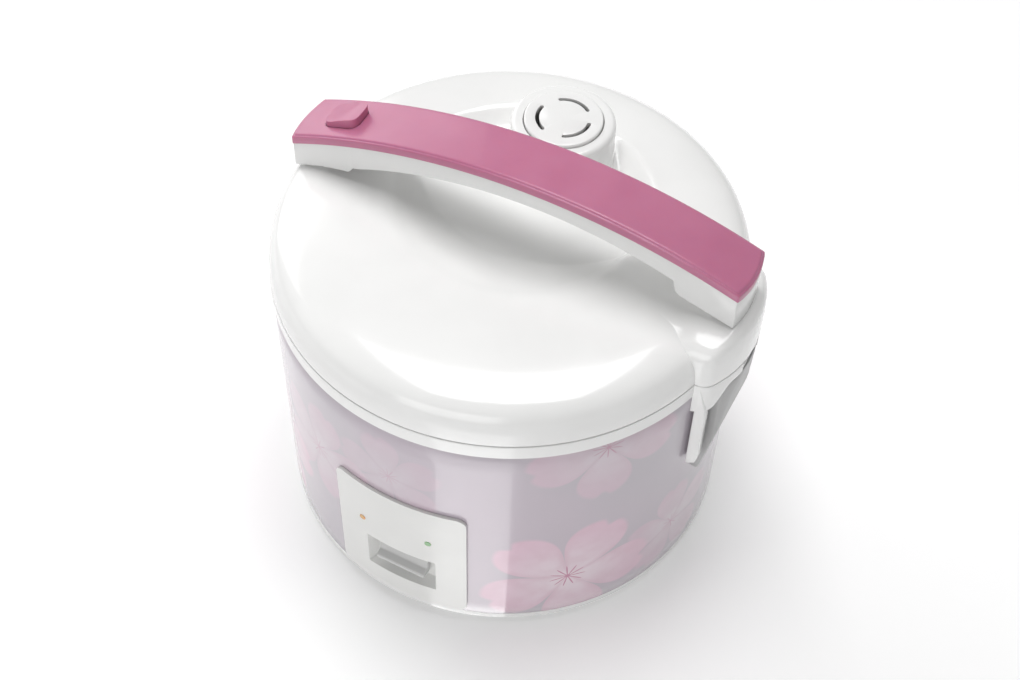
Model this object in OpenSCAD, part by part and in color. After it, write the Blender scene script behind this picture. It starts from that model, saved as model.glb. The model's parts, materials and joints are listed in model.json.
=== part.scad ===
// Drum rice cooker with a side-hinged lid, carrying handle, steam vent and cook lever.
// Millimetres. Z up from the table, front (control panel) faces -Y, lid hinge on +X, latch on -X.

/* [Body] */
// Outer radius of the printed skin
body_r = 133; // [120:1:145]
// Height of the seam between the body and the lid
seam_z = 180; // [160:1:200]
// Height of the rubber feet below the tray
foot_h = 4; // [3:0.5:8]
// Height of the white collar band below the seam
collar_h = 10; // [8:1:14]
// Half gap left on each side of the seam
seam_gap = 0.2; // [0.1:0.05:0.5]

/* [Pot] */
// Outside radius of the inner pot
pot_r = 109; // [100:1:112]
// Wall thickness of the inner pot
pot_t = 1.6; // [1:0.1:3]
// Height of the underside of the inner pot
pot_z = 48; // [44:1:60]

/* [Lid] */
// Wall thickness of the lid moulding
lid_t = 2.4; // [1.6:0.1:3]
// Height of the lid crown above the seam
lid_h = 26; // [20:1:34]
// Depth of the dish below the crown
dish_d = 8.4; // [4:0.1:12]
// Radius of the shallow dish in the top of the lid
dish_r = 79; // [70:1:85]
// Distance of the dish centre behind the body axis
dish_y = 16; // [8:1:20]
// Distance of the steam vent behind the body axis
vent_y = 62; // [55:1:68]
// Radius of the steam cap
vent_r = 22.2; // [18:0.1:25]

/* [Handle] */
// Width of the handle cover
handle_w = 35; // [28:1:40]
// Height of the arch crown above the seam
handle_h = 76; // [66:1:86]
// Radius of the arch
arch_r = 363; // [320:1:400]
// Position of the arch crown towards the hinge
arch_x = 21; // [0:1:25]
// Plan radius of the handle's two ends
end_r = 55; // [30:1:120]

/* [Panel] */
// Half width of the control panel
panel_w = 40.8; // [34:0.1:46]
// Lower edge of the control panel
panel_z0 = 13; // [10:0.5:20]
// Upper edge of the control panel
panel_z1 = 108.6; // [90:0.2:120]
// Position of the panel's middle towards the hinge
panel_x = 1.2; // [-5:0.2:5]
// Position of the lever recess towards the hinge
recess_x = 2.4; // [-5:0.2:5]

/* [Hinge] */
// Radius of the rounded top edge of the hinge bridge
barrel_r = 4.4; // [3.5:0.1:6]
// Half width of the hinge housing
hinge_w = 37; // [30:1:42]
// Radius of the hinge pin
pin_r = 2; // [1.5:0.1:2.5]

/* [Hidden] */
$fn = 96;
deck_z = seam_z - seam_gap;
lid_z = seam_z + seam_gap;
crown_z = seam_z + lid_h;
dish_z = crown_z - dish_d;
rim_z = seam_z - 2;
// lower edge of the printed skin
skin_z = foot_h + 5.8;
// plan arc of the hinge hump
hump_r = 63;
hump_x = 83;
hinge_x = hump_x + hump_r - barrel_r;
hinge_z = deck_z - barrel_r;
arch_z = seam_z + handle_h - arch_r;
cover_t = 2.4;
lip_h = 6;
grip_r = 265;
grip_x = 22;
grip_z = 240.8 - grip_r;
button_x = -102;
stem_x = -106;
hook_x = -119;
hook_z = 190;
vent_top = seam_z + 50;
lever_y = -64;
lever_z = 14;
recess_z = 44;
foot_r = 105;

// ---- helpers ----

function arc(c, r, a0, a1, n) =
    [for (i = [0 : n]) [c[0] + r * cos(a0 + (a1 - a0) * i / n), c[1] + r * sin(a0 + (a1 - a0) * i / n)]];

module revolve(points) {
    rotate_extrude() polygon(points);
}

module ring(r0, r1, z0, z1) {
    translate([0, 0, z0]) difference() {
        cylinder(r = r1, h = z1 - z0);
        translate([0, 0, -1]) cylinder(r = r0, h = z1 - z0 + 2);
    }
}

module disc(r, z0, z1) {
    translate([0, 0, z0]) cylinder(r = r, h = z1 - z0);
}

module box(x0, x1, y0, y1, z0, z1) {
    translate([x0, y0, z0]) cube([x1 - x0, y1 - y0, z1 - z0]);
}

module slab_z(z0, z1) {
    translate([0, 0, z0]) linear_extrude(z1 - z0) children();
}

// outline drawn in X and Z, thickened along Y
module slab_y(y0, y1) {
    translate([0, y1, 0]) rotate([90, 0, 0]) linear_extrude(y1 - y0) children();
}

// outline drawn in Y and Z, thickened along X
module slab_x(x0, x1) {
    translate([x0, 0, 0]) rotate([90, 0, 90]) linear_extrude(x1 - x0) children();
}

module rod_y(x, z, r, y0, y1) {
    slab_y(y0, y1) translate([x, z]) circle(r = r);
}

module rod_x(y, z, r, x0, x1) {
    slab_x(x0, x1) translate([y, z]) circle(r = r);
}

module rounded(w, h, r) {
    square([w - 2 * r, h], center = true);
    square([w, h - 2 * r], center = true);
    for (x = [-1, 1], y = [-1, 1])
        translate([x * (w / 2 - r), y * (h / 2 - r)]) circle(r = r);
}

module slot(l, w) {
    square([l - w, w], center = true);
    for (x = [-1, 1]) translate([x * (l - w) / 2, 0]) circle(r = w / 2);
}

module torus(r, t, z) {
    translate([0, 0, z]) rotate_extrude() translate([r, 0]) circle(r = t);
}

// coil drawn as a pile of rings joined by two thin posts
module coil(r, wire, z0, z1, turns) {
    pitch = (z1 - z0 - 2 * wire) / (turns - 1);
    for (i = [0 : turns - 1]) torus(r, wire, z0 + wire + i * pitch);
    for (s = [-1, 1])
        translate([s * r, 0, z0 + wire]) cylinder(r = wire * 0.6, h = z1 - z0 - 2 * wire);
}

// ---- body ----

module base_tray() {
    color("white") difference() {
        revolve(concat([[0, foot_h]], arc([body_r - 2.8, foot_h + 2.5], 2.5, -90, 0, 6),
            [[body_r - 0.3, skin_z - 0.2], [body_r - 1.2, skin_z - 0.2], [body_r - 1.2, 22],
             [129.4, 22], [129.4, foot_h + 6], [123, foot_h + 2.5], [0, foot_h + 2.5]]));
        for (a = [45 : 90 : 315]) rotate(a) translate([foot_r, 0, 0]) disc(8.2, 3, foot_h + 1.2);
        for (a = [90, 210, 330]) rotate(a) translate([96, 0, 0]) {
            disc(1.7, 3, 10);
            disc(3.8, 3, foot_h + 1.4);
        }
        for (a = [15 : 30 : 345]) rotate(a)
            slab_z(foot_h - 1, foot_h + 4) translate([68, 0]) slot(28, 3.2);
    }
}

module foot() {
    color("dimgray") revolve([[0, 0], [6.6, 0], [8, 1.4], [8, foot_h + 1.1], [0, foot_h + 1.1]]);
}

module foot_at(a) {
    rotate(a) translate([foot_r, 0, 0]) foot();
}

module foot_front_left() {
    foot_at(225);
}

module foot_front_right() {
    foot_at(315);
}

module foot_rear_left() {
    foot_at(135);
}

module foot_rear_right() {
    foot_at(45);
}

// printed metal skin, opened for the panel, its lamps and the inlet
module outer_shell() {
    color("thistle") difference() {
        ring(body_r - 1, body_r, skin_z, seam_z - collar_h - 0.2);
        box(recess_x - 27, recess_x + 27, -140, -100, 26, 63);
        slab_y(-140, -100) translate([-22, 74]) circle(r = 3);
        slab_y(-140, -100) translate([20.5, 78]) circle(r = 3);
        box(-17, 17, 100, 140, 21, 47);
    }
}

// XY outline of the hinge hump, shrunk by d
module hump(d) {
    intersection() {
        translate([hump_x, 0]) circle(r = hump_r - d);
        translate([90, -hinge_w + d]) square([80, 2 * (hinge_w - d)]);
    }
}

// bridge over the hinge with a rounded top edge, two ribs and a sloping cover below it
module hinge_housing() {
    difference() {
        intersection() {
            slab_z(80, deck_z) hump(0);
            union() {
                slab_y(-hinge_w, hinge_w) union() {
                    translate([120, seam_z - collar_h]) square([hinge_x - 120, collar_h - seam_gap]);
                    translate([120, seam_z - collar_h])
                        square([hinge_x + barrel_r - 120, hinge_z - seam_z + collar_h]);
                    translate([hinge_x, hinge_z]) circle(r = barrel_r);
                }
                for (y = [-hinge_w, 30])
                    slab_y(y, y + hinge_w - 30) polygon(concat([[120, 170.5], [139, 170.5]],
                        arc([132.5, 114], 4, 0, -90, 8), [[120, 110]]));
                slab_y(-25, 25) polygon([[120, 170.5], [146, 170.5], [146, 166], [143.5, 158], [141, 126],
                    [134.5, 92], [120, 92]]);
            }
        }
        disc(body_r + 0.2, 60, seam_z - collar_h);
        disc(body_r - 3, 60, 200);
        // slot for the lid arms and the spring
        box(hinge_x - 5, hinge_x + 8, -10.3, 10.3, hinge_z - 5, 200);
        rod_y(hinge_x, hinge_z, pin_r + 0.03, -16.4, 16.4);
    }
}

module top_collar() {
    color("white") difference() {
        union() {
            revolve([[114.5, 172.7], [122.5, 172.7], [122.5, 176.8], [130.6, 176.8], [130.6, 169.8],
                [129, 169.8], [129, 162], [131.8, 162], [131.8, seam_z - collar_h],
                    [body_r + 0.5, seam_z - collar_h],
                [body_r + 0.5, deck_z - 0.6], [body_r - 0.1, deck_z], [118.5, deck_z], [118.5, 175.5],
                [114.5, 175.5]]);
            hinge_housing();
        }
        // slot for the latch hook, with the catch pocket under the deck
        box(-130.2, -122.9, -7, 7, 172.5, 182);
        box(-123, -120.6, -7, 7, 172.5, 176.8);
    }
}

module inner_liner() {
    color("silver") difference() {
        revolve(concat([[30, 24]], arc([103.8, 34], 10, -90, 0, 8), [[113.8, 171.6], [121, 171.6],
            [121, 172.4], [113, 172.4]], arc([103.8, 34], 9.2, 0, -90, 8), [[30, 24.8]]));
        for (x = [-14, 14]) translate([x, 70, 20]) cylinder(r = 5, h = 8);
    }
}

module base_posts() {
    color("silver") for (a = [90, 210, 330]) rotate(a) translate([96, 0, 0])
        ring(1.75, 5, foot_h + 2.6, 23.8);
}

module base_screws() {
    color("gray") for (a = [90, 210, 330]) rotate(a) translate([96, 0, 0]) {
        disc(3.5, foot_h - 0.6, foot_h + 1.3);
        disc(1.6, foot_h + 1, 23);
    }
}

// ---- heater, sensor and lever ----

module heating_plate() {
    color("silver") difference() {
        revolve(concat([[21, 36], [84, 36], [90, 39]], arc([87, 44.8], 3, 0, 90, 6), [[21, 47.8]]));
        torus(70, 4.3, 36.2);
    }
}

module heater_element() {
    color("gray") {
        torus(70, 4, 36.2);
        for (x = [-14, 14]) translate([x, 68.6, 0]) {
            disc(2.6, 20, 35);
            disc(1.5, 13, 20);
        }
    }
}

module plate_posts() {
    color("silver") for (a = [30, 150, 270]) rotate(a) translate([48, 0, 0]) disc(4, 25, 35.9);
}

// fixed guide carried on the liner floor
module sensor_guide() {
    color("silver") difference() {
        revolve([[6.06, 24.9], [34, 24.9], [34, 26], [7.6, 26], [7.6, 33], [6.06, 33]]);
        for (a = [0 : 60 : 300]) rotate(a) translate([24, 0, 20]) cylinder(r = 3, h = 10);
    }
}

module sensor_spring() {
    color("silver") coil(10.5, 0.7, 26.1, 45.2, 6);
}

module sensor_cap() {
    color("silver") revolve([[0, 42], [4.2, 42], [4.2, 27], [6, 27], [6, 45.3], [17.6, 45.3], [17.6, 38],
        [18.6, 38], [18.6, 47], [17.8, 47.8], [0, 47.8]]);
}

module magnet_rod() {
    color("dimgray") {
        disc(4.1, 25, 32.5);
        disc(2, 10, 26);
        disc(4.1, 17.3, 19);
    }
}

module lever_bracket() {
    color("silver") difference() {
        union() {
            box(-10.6, 10.6, lever_y - 9, lever_y + 9, 22.4, 23.8);
            for (x = [-10.6, 9.4]) box(x, x + 1.2, lever_y - 7, lever_y + 7, 9, 22.5);
        }
        rod_x(lever_y, lever_z, pin_r + 0.03, -20, 20);
    }
}

module lever_pin() {
    color("gray") rod_x(lever_y, lever_z, pin_r, -11.6, 11.4);
}

// stamped arm from the front paddle to the magnet rod
module cook_lever() {
    color("white") difference() {
        union() {
            box(-7, 7, -117.4, 7.6, 15.2, 17);
            for (x = [-7, 5.4]) slab_x(x, x + 1.6) {
                translate([lever_y, lever_z]) circle(r = 3.6);
                translate([lever_y - 3.6, lever_z]) square([7.2, 2.5]);
            }
            box(-7, 7, -117.4, -115.8, 15.2, 50);
            box(-5, 5, -129, -116, 43, 50);
            slab_x(recess_x - 15.4, recess_x + 15.4) polygon([[-127.6, 55], [-129.4, 55], [-131.4, 45], [-135.4, 43.4],
                [-135.4, 41.4], [-129, 40.4], [-127.6, 41.4]]);
        }
        rod_x(lever_y, lever_z, pin_r + 0.05, -20, 20);
        // fork round the magnet rod
        disc(2.6, 10, 20);
        box(-2.6, 2.6, 0, 12, 10, 20);
    }
}

module micro_switch() {
    color("dimgray") difference() {
        union() {
            box(11.8, 18.2, -58, -38, 9, 19);
            for (y = [-55, -48, -41]) box(14.4, 15.6, y - 2, y + 2, 7.4, 9.1);
        }
        for (y = [-53, -43]) rod_x(y, 12, 1.2, 10, 20);
    }
}

module warm_thermostat() {
    color("silver") translate([-52, 34, 0]) {
        disc(8.4, 18.2, 23.8);
        disc(6, 14, 18.3);
        for (x = [-3, 3]) box(x - 0.4, x + 0.4, -2.4, 2.4, 9.6, 14.1);
    }
}

module thermal_fuse() {
    color("silver") {
        rod_x(16, 31, 2.1, 40, 54);
        rod_x(16, 31, 0.6, 32, 60);
    }
}

module side_heater() {
    color("gray") ring(114, 115.2, 96, 124);
}

// ---- front panel and inlet ----

// block whose section shrinks from the mouth at the skin to the floor behind it
module funnel(mouth_x, floor_x, mouth_z, floor_z, floor_y) {
    intersection() {
        slab_z(0, 100) translate([recess_x, 0])
            polygon([[-mouth_x, -137], [mouth_x, -137], [floor_x, floor_y], [-floor_x, floor_y]]);
        slab_x(-60, 60) polygon([[-137, recess_z - mouth_z], [floor_y, recess_z - floor_z],
            [floor_y, recess_z + floor_z], [-137, recess_z + mouth_z]]);
    }
}

module panel_outline(d, y0, y1) {
    slab_y(y0, y1) translate([panel_x, (panel_z0 + panel_z1) / 2])
        rounded(2 * (panel_w - d), panel_z1 - panel_z0 - 2 * d, 6 - d);
}

module control_panel() {
    color("white") difference() {
        union() {
            intersection() {
                ring(body_r + 0.15, body_r + 2, 0, 120);
                panel_outline(0, -140, -100);
            }
            intersection() {
                funnel(25, 20.5, 16.8, 14.2, -124.6);
                disc(body_r + 1.9, 0, 120);
            }
        }
        funnel(23.4, 18.6, 15.2, 12.4, -126.2);
        box(-9, 9, -130, -120, 33, 56);
        slab_y(-140, -100) translate([-22, 74]) circle(r = 2);
        slab_y(-140, -100) translate([20.5, 78]) circle(r = 2);
    }
}

module lens(x, z) {
    intersection() {
        ring(body_r - 2.5, body_r + 2.3, 60, 90);
        slab_y(-140, -100) translate([x, z]) circle(r = 1.9);
    }
}

module cook_lens() {
    color("orange") lens(-22, 74);
}

module warm_lens() {
    color("green") lens(20.5, 78);
}

module indicator_board() {
    color("darkgreen") difference() {
        union() {
            box(-29, 29, -123.4, -121.8, 66, 86);
            slab_y(-126, -123) translate([-22, 74]) circle(r = 2.4);
            slab_y(-126, -123) translate([20.5, 78]) circle(r = 2.4);
        }
        for (x = [-26, 26]) slab_y(-130, -115) translate([x, 82]) circle(r = 1.6);
    }
}

module ac_inlet() {
    color("dimgray") difference() {
        union() {
            intersection() {
                ring(body_r + 0.15, body_r + 2, 10, 60);
                slab_y(100, 140) translate([0, 34]) rounded(44, 30, 4);
            }
            intersection() {
                slab_y(117, 140) translate([0, 34]) rounded(32, 24, 3);
                disc(body_r + 1.9, 10, 60);
            }
        }
        slab_y(119, 140) translate([0, 34]) rounded(26, 17, 3);
        for (x = [-7, 0, 7]) box(x - 1.1, x + 1.1, 110, 120, 31, 37);
        for (x = [-19, 19]) slab_y(120, 140) translate([x, 34]) circle(r = 1.6);
    }
}

module inlet_pins() {
    color("silver") for (x = [-7, 0, 7]) box(x - 1, x + 1, 114.6, 131, 31.1, 36.9);
}

// ---- hinge hardware ----

module hinge_pin() {
    color("gray") rod_y(hinge_x, hinge_z, pin_r, -16.2, 16.2);
}

module hinge_spring() {
    color("silver") translate([hinge_x, 0, hinge_z]) rotate([90, 0, 0]) translate([0, 0, -4.5])
        coil(2.9, 0.5, 0, 9, 6);
}

// ---- pot ----

module inner_pot() {
    color("dimgray") revolve(concat([[0, pot_z]], arc([pot_r - 22, pot_z + 22], 22, -90, 0, 12),
        [[pot_r, rim_z - 1.6], [115.4, rim_z - 1.6]], arc([115.4, rim_z - 0.8], 0.8, -90, 90, 6),
        [[pot_r - pot_t, rim_z]], arc([pot_r - 22, pot_z + 22], 22 - pot_t, 0, -90, 12), [[0, pot_z + pot_t]]));
}

// ---- lid ----

// profile of the dome: straight wall, then a rounded shoulder up to the crown
function dome(d) = concat([[body_r + 0.2 - d, lid_z - (d > 0 ? 1 : 0)], [body_r - 0.4 - d, lid_z + 8]],
    [for (t = [0 : 9 : 90]) [82 + (130.6 - d - 82) * pow(cos(t), 0.95),
        seam_z + 17 + (lid_h - 17 - d) * pow(sin(t), 0.95)]], [[0, crown_z - d]]);

module dome_solid(d) {
    revolve(concat([[0, lid_z - (d > 0 ? 1 : 0)]], dome(d)));
}

// raised block over the hinge that carries the end of the handle
module boss_solid(d) {
    intersection() {
        slab_z(lid_z - (d > 0 ? 1 : 0), 230) hump(d);
        slab_y(-40, 40) polygon([[104, 170], [104, 202.5 - d], [113, 208 - d], [125, 210.8 - d],
            [136, 210.8 - d],
            [142.5 - d * 0.5, 207.4 - d * 0.8], [145.6 - d, 201.5 - d * 0.4], [146 - d, 194],
                [146 - d, 170]]);
        slab_x(80, 160) translate([0, 210.9 - 104]) circle(r = 104 - d);
    }
}

// everything above the dish surface
module dish_block() {
    translate([0, dish_y, 0]) revolve(concat(
        [for (t = [0 : 0.2 : 1]) [56 + (dish_r - 56) * t, dish_z + (crown_z + 0.6 - dish_z) * pow(t, 1.7)]],
        [[dish_r, 240], [0, 240], [0, dish_z]]));
}

// material kept under the dish
module dish_pan() {
    translate([0, dish_y, 0]) revolve([[0, dish_z - lid_t], [60, dish_z - lid_t],
        [dish_r + 5, crown_z], [0, crown_z]]);
}

// low raised land round the vent
module vent_land() {
    intersection() {
        translate([0, vent_y, 0]) disc(80, dish_z - 1, dish_z + 1.2);
        translate([0, dish_y, 0]) disc(63, 190, 210);
    }
}

module lid_outer() {
    color("white") difference() {
        union() {
            difference() {
                union() {
                    dome_solid(0);
                    boss_solid(0);
                }
                dish_block();
                difference() {
                    union() {
                        dome_solid(lid_t);
                        boss_solid(lid_t);
                    }
                    dish_pan();
                }
            }
            vent_land();
            translate([0, vent_y, 0]) revolve(concat([[20, 195.4], [30, 195.4], [30, 198], [29, 201]],
                arc([25.6, 225], 3.4, 0, 90, 6), [[24.4, 228.4], [20, 228.4]]));
            for (a = [45 : 90 : 315]) rotate(a) translate([122, 0, 0]) disc(4, 183, 200);
        }
        translate([0, vent_y, 0]) disc(23.2, 190, 230);
        for (a = [45 : 90 : 315]) rotate(a) translate([122, 0, 0]) disc(1.35, 180, 195);
        translate([stem_x, 0, 0]) disc(4.5, 190, 215);
        for (s = [-1, 1]) {
            translate([-112, s * 12.5, 0]) disc(1.7, 190, 215);
            translate([122, s * 10, 0]) disc(1.7, 190, 215);
        }
    }
}

// inner moulding that closes the lid, with the hinge arms and the hook ears
module lid_frame() {
    color("whitesmoke") difference() {
        union() {
            revolve([[0, 184.6], [113.8, 184.6], [113.8, lid_z], [130.4, lid_z], [130.4, 182.6],
                [116.5, 182.6],
                [116.5, 186.6], [0, 186.6]]);
            slab_z(lid_z, 182.6) difference() {
                hump(lid_t + 0.3);
                circle(r = 125);
            }
            for (y = [-10, 5]) slab_y(y, y + 5) {
                translate([hinge_x, hinge_z]) circle(r = 3.6);
                translate([hinge_x - 3.6, hinge_z]) square([4.2, 182.6 - hinge_z]);
            }
            for (y = [-8.6, 6.6]) slab_y(y, y + 2) {
                translate([hook_x, hook_z]) circle(r = 3.4);
                translate([hook_x - 3.4, 182]) square([6.8, hook_z - 182]);
            }
        }
        rod_y(hinge_x, hinge_z, pin_r + 0.05, -20, 20);
        rod_y(hook_x, hook_z, 1.53, -12, 12);
        box(-130.6, -121.4, -6.5, 6.5, 178, 184);
        box(hinge_x - 5, hinge_x + 5, -4.9, 4.9, 178, 186);
        disc(4.3, 180, 190);
        translate([0, vent_y, 0]) disc(9.2, 180, 190);
        for (a = [45 : 90 : 315]) rotate(a) translate([122, 0, 0]) {
            disc(1.6, 178, 190);
            disc(3.3, 178, 181.4);
        }
    }
}

module inner_cover_plate() {
    color("silver") difference() {
        revolve([[0, 181.4], [98, 181.4], [100, 180.6], [104, 180.6], [104, 181.4], [100.4, 181.4],
            [98.4, 182.2],
            [0, 182.2]]);
        disc(4.2, 178, 184);
        for (a = [0 : 60 : 300]) translate([0, vent_y, 0]) rotate(a) translate([4.6, 0, 178])
            cylinder(r = 1.8, h = 6);
        for (a = [0 : 30 : 330]) rotate(a) translate([36, 0, 178]) cylinder(r = 2.4, h = 6);
    }
}

module lid_gasket() {
    color("gainsboro") revolve([[101, 181.7], [104.4, 181.7], [104.4, 180.4], [101, 180.4],
        [101, 179.6], [109, 179.6],
        [111, 178.3], [114.6, 178.3], [113.4, 180.4], [113.4, 184.3], [101, 184.3]]);
}

module plate_knob() {
    color("gainsboro") revolve([[0, 176.4], [8, 176.4], [9, 177.4], [9, 181.2], [4, 181.2],
        [4, 182.4], [4.8, 183],
        [4.8, 184.4], [4.1, 184.4], [4.1, 187.6], [0, 187.6]]);
}

module vent_cup() {
    color("whitesmoke") translate([0, vent_y, 0]) difference() {
        revolve([[0, 187], [18, 187], [23, 190], [23, 223.4], [21.7, 223.4], [21.7, 191],
            [17.4, 188.4], [0, 188.4]]);
        disc(4, 180, 195);
    }
}

module vent_gasket() {
    color("gainsboro") translate([0, vent_y, 0]) ring(7, 9, 182.4, 186.8);
}

// removable cap with three curved steam slots
module vent_cap() {
    color("white") translate([0, vent_y, 0]) difference() {
        revolve([[0, 227], [19.4, 227], [19.4, 212], [20.7, 212], [20.7, 226], [vent_r, 226],
            [vent_r, vent_top - 1.2],
            [vent_r - 1.2, vent_top], [0, vent_top]]);
        for (a = [88 : 120 : 328]) rotate([0, 0, a - 35])
            rotate_extrude(angle = 70) translate([13.6, 220]) square([2.4, 20]);
    }
}

// ---- handle ----

// plan outline of the handle with curved ends, shrunk by d
module handle_plan(d) {
    intersection() {
        translate([-140, -handle_w / 2 + d]) square([280, handle_w - 2 * d]);
        union() {
            translate([end_r - 131, 0]) circle(r = end_r - d);
            translate([140.2 - end_r, 0]) circle(r = end_r - d);
            translate([end_r - 131, -40]) square([271.2 - 2 * end_r, 80]);
        }
    }
}

module arch(r) {
    slab_y(-30, 30) translate([arch_x, arch_z]) circle(r = r);
}

module button_outline(d) {
    translate([button_x, 0]) rounded(21.2 + 2 * d, 17 + 2 * d, 4.5);
}

// white lower half of the handle with end blocks that stand on the lid
module handle_base() {
    color("white") difference() {
        intersection() {
            union() {
                intersection() {
                    slab_z(190, 260) handle_plan(0.5);
                    arch(arch_r - lip_h - 0.2);
                }
                intersection() {
                    slab_z(190, 260) handle_plan(2.1);
                    arch(arch_r - cover_t - 0.2);
                }
            }
            union() {
                slab_y(-30, 30) difference() {
                    polygon([[-132, 196], [-112, 196], [-110.9, 208.8], [-96, 211.6], [-93.5, 211.8],
                        [-89.5, 217.5], [-89.5, 230], [103, 230], [103, 225], [106.9, 218.8],
                        [141, 209.6], [141, 270], [-132, 270]]);
                    intersection() {
                        translate([grip_x, grip_z]) circle(r = grip_r);
                        translate([-89.6, 150]) square([192.7, 120]);
                    }
                }
                box(119.5, 141, -12.4, 12.4, 202, 222);
            }
        }
        translate([0, 0, 0.2]) dome_solid(0);
        translate([0, 0, 0.2]) boss_solid(0);
        // room for the button and its spring
        intersection() {
            slab_z(214.6, 260) translate([button_x, 0]) rounded(25.6, 21, 5);
            arch(400);
        }
        translate([stem_x, 0, 0]) disc(3.08, 190, 230);
        for (s = [-1, 1]) {
            translate([-112, s * 12.5, 0]) disc(1.35, 190, 214);
            translate([122, s * 10, 0]) disc(1.35, 190, 222);
        }
    }
}

// coloured cover clipped over the arch
module handle_cover() {
    color("palevioletred") difference() {
        intersection() {
            slab_z(190, 260) handle_plan(0);
            arch(arch_r);
        }
        arch(arch_r - lip_h);
        intersection() {
            slab_z(190, 260) handle_plan(1.9);
            arch(arch_r - cover_t);
        }
        slab_z(190, 260) button_outline(0.3);
    }
}

module latch_button() {
    color("palevioletred") {
        intersection() {
            slab_z(222.6, 260) button_outline(0);
            arch(arch_r + 5.5);
        }
        slab_z(222.6, 224.6) translate([button_x, 0]) rounded(23.4, 19, 4);
        translate([stem_x, 0, 0]) {
            disc(3, 199, 223);
            disc(1, 196.2, 199.5);
        }
    }
}

module button_spring() {
    color("silver") translate([stem_x, 0, 0]) coil(5, 0.6, 214.7, 222.5, 4);
}

// latch hook, drawn with its nose just clear of the catch edge
module latch_hook() {
    color("white") difference() {
        slab_y(-6, 6) {
            translate([hook_x, hook_z]) circle(r = 4);
            polygon([[-119, 188.6], [-103, 192.4], [-103, 195.8], [-119, 194]]);
            polygon([[-125.6, 173], [-124.4, 173], [-123.1, 174.4], [-123.1, 176.3], [-124.2, 176.3],
                [-124.2, 184],
                [-119, 186.4], [-119, 194], [-125.6, 190]]);
        }
        rod_y(hook_x, hook_z, 1.55, -12, 12);
    }
}

module latch_pin() {
    color("gray") rod_y(hook_x, hook_z, 1.5, -9, 9);
}

module lid_screws() {
    color("gray") for (a = [45 : 90 : 315]) rotate(a) translate([122, 0, 0]) {
        disc(3, 180.3, 181.3);
        disc(1.3, 181, 192);
    }
}

module handle_screws() {
    color("gray") for (s = [-1, 1]) {
        translate([-112, s * 12.5, 0]) {
            disc(3, 199.4, 201.4);
            disc(1.3, 201, 212);
        }
        translate([122, s * 10, 0]) {
            disc(3, 204.8, 206.8);
            disc(1.3, 206, 220);
        }
    }
}

base_tray();
foot_front_left();
foot_front_right();
foot_rear_left();
foot_rear_right();
outer_shell();
top_collar();
inner_liner();
base_posts();
base_screws();
heating_plate();
heater_element();
plate_posts();
sensor_guide();
sensor_spring();
sensor_cap();
magnet_rod();
lever_bracket();
lever_pin();
cook_lever();
micro_switch();
warm_thermostat();
thermal_fuse();
side_heater();
control_panel();
cook_lens();
warm_lens();
indicator_board();
ac_inlet();
inlet_pins();
hinge_pin();
hinge_spring();
inner_pot();
lid_outer();
lid_frame();
inner_cover_plate();
lid_gasket();
plate_knob();
vent_cup();
vent_gasket();
vent_cap();
handle_base();
handle_cover();
latch_button();
button_spring();
latch_hook();
latch_pin();
lid_screws();
handle_screws();
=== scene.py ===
"""Looks of a drum rice cooker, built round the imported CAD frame.

Lengths in the shape code are millimetres, with Z up, the front at -Y and the hinge at +X.
"""

import json
import math

import bmesh
import bpy
from mathutils import Matrix, Vector


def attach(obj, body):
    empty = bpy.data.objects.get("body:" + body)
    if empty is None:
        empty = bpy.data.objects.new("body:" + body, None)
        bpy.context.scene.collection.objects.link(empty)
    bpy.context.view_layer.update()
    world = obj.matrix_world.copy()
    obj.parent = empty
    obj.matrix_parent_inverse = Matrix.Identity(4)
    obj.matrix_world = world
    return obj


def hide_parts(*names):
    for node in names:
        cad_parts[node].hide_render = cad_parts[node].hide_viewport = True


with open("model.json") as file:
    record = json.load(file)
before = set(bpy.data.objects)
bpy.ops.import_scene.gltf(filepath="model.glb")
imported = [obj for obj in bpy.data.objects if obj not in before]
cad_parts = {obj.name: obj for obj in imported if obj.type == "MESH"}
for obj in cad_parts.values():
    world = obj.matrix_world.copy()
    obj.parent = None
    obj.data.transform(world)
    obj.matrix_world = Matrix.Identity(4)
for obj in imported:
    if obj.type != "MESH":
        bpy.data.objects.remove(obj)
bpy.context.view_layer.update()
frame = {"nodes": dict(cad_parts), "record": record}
nodes = frame["nodes"]
scene = bpy.context.scene
MM = 0.001

# Body: radius, top of the collar
BODY_R = 133.0
DECK = 179.8

# Lid: lower edge, crown height, round dish, vent centre and the land round it
LID = 180.2
CROWN = 206.0
DISH_X, DISH_Y, DISH_R = -3.0, 16.0, 77.5
DISH_DEPTH = 8.2
VENT = (0.0, 62.0)
LAND_R = 80.5

# Hinge block: centre and radius of its round end, half width
HUMP_X, HUMP_R, HUMP_HALF = 83.0, 63.0, 37.0

# Handle: arch radius and centre (x, z), end positions and their rounding
ARCH_R = 363.0
ARCH_X, ARCH_Z = 21.0, -107.0
HANDLE_X0, HANDLE_X1 = -131.0, 140.2
END_R = 55.0

# Latch button and the stem under it
BUTTON_X, BUTTON_HALF_X, BUTTON_HALF_Y, BUTTON_CORNER = -102.0, 10.6, 8.5, 5.5
STEM_X, STEM_HOLE_R = -106.0, 4.5

# Control panel: outer radius, height range, half width, corner, sideways shift, and its recess
PANEL_R = 135.0
PANEL_Z0, PANEL_Z1 = 13.0, 108.6
PANEL_HALF, PANEL_CORNER = 41.0, 6.0
PANEL_SHIFT = 1.2
RECESS_X = 2.4
RECESS_Z = 44.4
LAMPS = ((-22.0, 74.0), (20.5, 78.0))
LAMP_R = 2.0


# ---------------------------------------------------------------- mesh tools


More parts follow.
